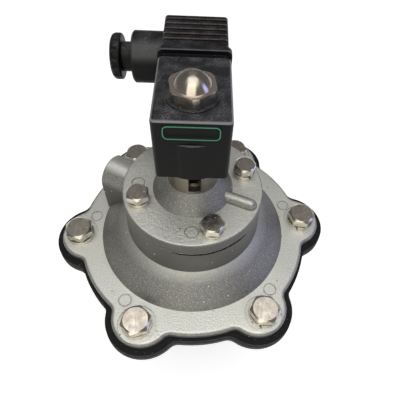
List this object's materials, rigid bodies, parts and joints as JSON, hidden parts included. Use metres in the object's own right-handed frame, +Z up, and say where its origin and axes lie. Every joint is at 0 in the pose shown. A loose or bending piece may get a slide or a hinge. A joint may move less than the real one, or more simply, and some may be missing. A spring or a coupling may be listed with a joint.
{
  "type": "diaphragm pulse valve",
  "caption": "Right-angle two-stage diaphragm valve with a bolted lobed bonnet, pilot cover, exhaust collar, solenoid coil and plug with a cable gland.",
  "frame": {"origin": "centre of the outlet port at its bottom face", "axes": "+Z up along the valve's axis from the outlet to the coil, +Y towards the inlet port and the plug"},
  "size_m": [0.1484, 0.1447, 0.1917],
  "materials": {
    "cast_aluminium": "shot-blasted die casting",
    "black_coating": "fine-textured powder coating on die-cast aluminium",
    "diaphragm_rubber": "moulded nitrile rubber",
    "zinc_steel": "bright zinc plating",
    "spring_steel": "drawn stainless spring wire",
    "turned_steel": "turned stainless steel",
    "turned_aluminium": "turned, dull anodised",
    "nickel_steel": "bright nickel plating",
    "coil_resin": "moulded glass-filled polyester",
    "plug_plastic": "moulded glass-filled polyamide",
    "terminal_brass": "stamped, tinned",
    "gasket_rubber": "moulded rubber"
  },
  "bodies": {
    "valve": {"lower_body": "black_coating", "main_diaphragm": "diaphragm_rubber", "main_spring": "spring_steel", "bonnet": "cast_aluminium", "flange_bolts": "zinc_steel", "flange_spring_washers": "zinc_steel", "pilot_diaphragm": "diaphragm_rubber", "pilot_spring": "spring_steel", "pilot_cover": "cast_aluminium", "cover_bolts": "zinc_steel", "cover_spring_washers": "zinc_steel", "exhaust_collar": "turned_aluminium", "core_tube": "turned_steel", "stem_gasket": "gasket_rubber", "plunger_spring": "spring_steel", "fixed_core": "turned_steel", "coil": "coil_resin", "coil_terminals": "terminal_brass", "coil_nut": "nickel_steel", "connector_gasket": "gasket_rubber", "connector_housing": "plug_plastic", "terminal_block": "plug_plastic", "connector_screw": "zinc_steel", "gland_nut": "plug_plastic", "gland_washer": "plug_plastic", "gland_grommet": "gasket_rubber"},
    "main_valve": {"main_top_plate": "zinc_steel", "main_bottom_plate": "zinc_steel", "main_plate_bolt": "zinc_steel", "main_plate_nut": "zinc_steel"},
    "pilot_valve": {"pilot_plate": "zinc_steel", "pilot_rivet": "turned_steel"},
    "plunger": {"plunger": "turned_steel", "plunger_seal": "gasket_rubber"}
  },
  "joints": [
    {"name": "main_valve_lift", "type": "slide", "parent": "valve", "child": "main_valve", "axis": [0, 0, 1], "range_m": [0, 0.01], "stiffness_N_per_m": 800, "springref_m": -0.01, "deforming": ["main_diaphragm", "main_spring"]},
    {"name": "pilot_valve_lift", "type": "slide", "parent": "valve", "child": "pilot_valve", "axis": [0, 0, 1], "range_m": [0, 0.003], "stiffness_N_per_m": 300, "springref_m": -0.006, "deforming": ["pilot_diaphragm", "pilot_spring"]},
    {"name": "plunger_lift", "type": "slide", "parent": "valve", "child": "plunger", "axis": [0, 0, 1], "range_m": [0, 0.002], "stiffness_N_per_m": 300, "springref_m": -0.006, "deforming": ["plunger_spring"]}
  ]
}
